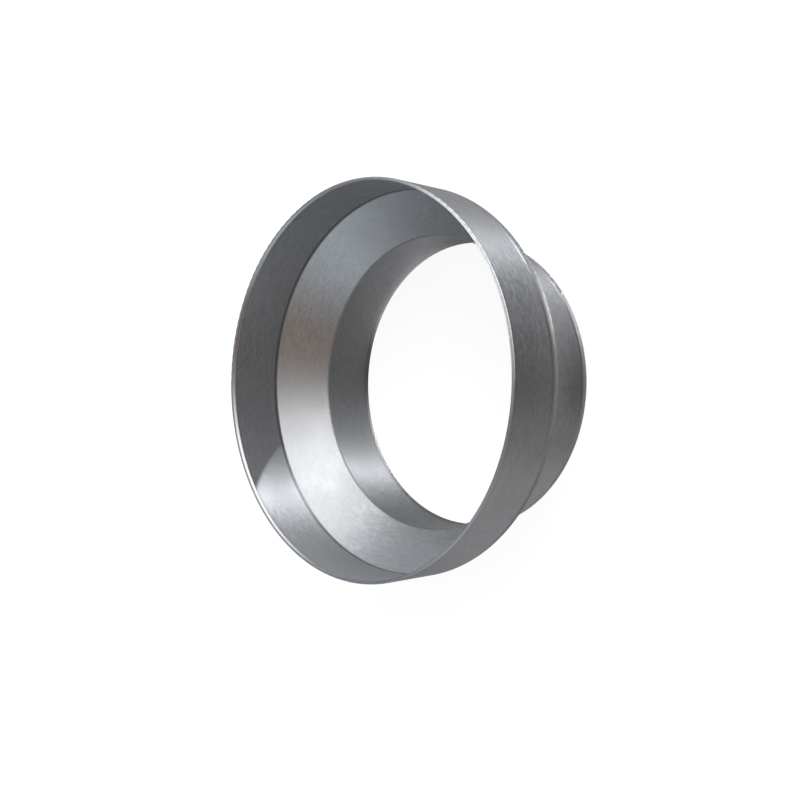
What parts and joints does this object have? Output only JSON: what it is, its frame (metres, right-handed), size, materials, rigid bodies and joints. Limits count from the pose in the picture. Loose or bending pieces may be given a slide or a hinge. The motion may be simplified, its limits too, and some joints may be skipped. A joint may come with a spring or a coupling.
{
  "type": "duct reducer",
  "caption": "Round sheet-metal duct reducer: a short large collar, a straight taper and a short small collar, all in one piece.",
  "frame": {"origin": "centre of the small end's plane, which the reducer stands on", "axes": "+Z along the duct's axis, from the small end to the large end; X and Y are any two directions across it"},
  "size_m": [0.125, 0.125, 0.054],
  "materials": {
    "steel": "brushed round the axis, satin"
  },
  "bodies": {
    "root": {"reducer": "steel"}
  },
  "joints": []
}
